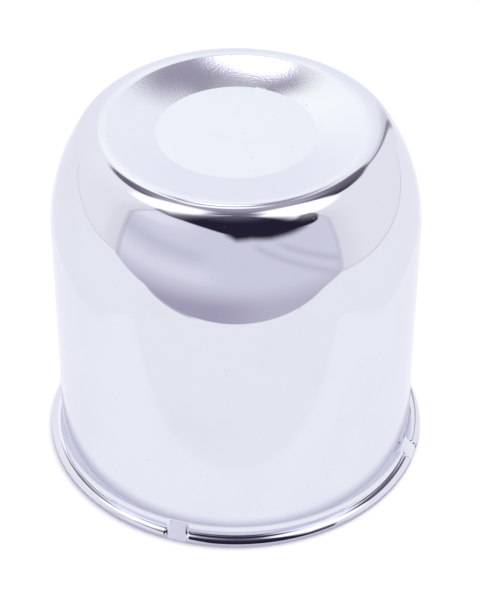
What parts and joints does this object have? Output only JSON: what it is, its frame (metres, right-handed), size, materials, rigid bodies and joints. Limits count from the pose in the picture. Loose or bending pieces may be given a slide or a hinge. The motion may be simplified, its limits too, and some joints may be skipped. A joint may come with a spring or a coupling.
{
  "type": "push-through wheel center cap",
  "caption": "Tall chrome push-through wheel center cap: open-footed stamped shell with a straight wall, rounded shoulder, shallow dished top and a notched bead round the foot.",
  "frame": {"origin": "centre of the open foot, on the surface that the cap stands on", "axes": "+Z along the cap's axis from the open foot to the closed top; +X and +Y each run out through the middle of a notch in the foot bead"},
  "size_m": [0.1138, 0.1138, 0.1099],
  "materials": {
    "chrome": "mirror-bright chrome plate on pressed steel, inside and out"
  },
  "bodies": {
    "root": {"cap_shell": "chrome"}
  },
  "joints": []
}
